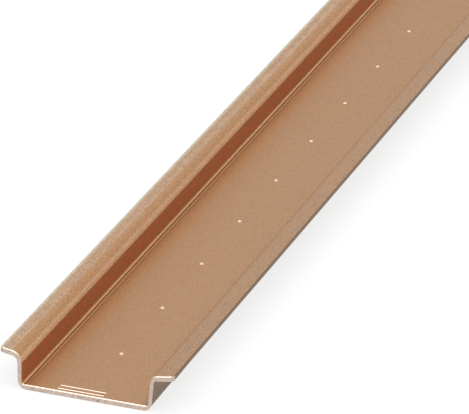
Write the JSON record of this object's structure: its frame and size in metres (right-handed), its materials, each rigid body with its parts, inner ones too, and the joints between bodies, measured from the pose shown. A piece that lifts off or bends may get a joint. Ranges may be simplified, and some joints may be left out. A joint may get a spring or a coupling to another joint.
{
  "type": "din rail",
  "caption": "Unperforated copper top-hat mounting rail: one bent strip with an open channel, two clip-on flanges and a row of punch marks along its floor.",
  "frame": {"origin": "middle of the rail, on the underside of the floor", "axes": "+Y along the rail, +Z out of the open side of the channel, +X across it"},
  "size_m": [0.035, 1, 0.0079],
  "materials": {
    "copper": "bare rolled copper, satin, with bright sheared ends and slit edges"
  },
  "bodies": {
    "root": {"rail": "copper"}
  },
  "joints": []
}
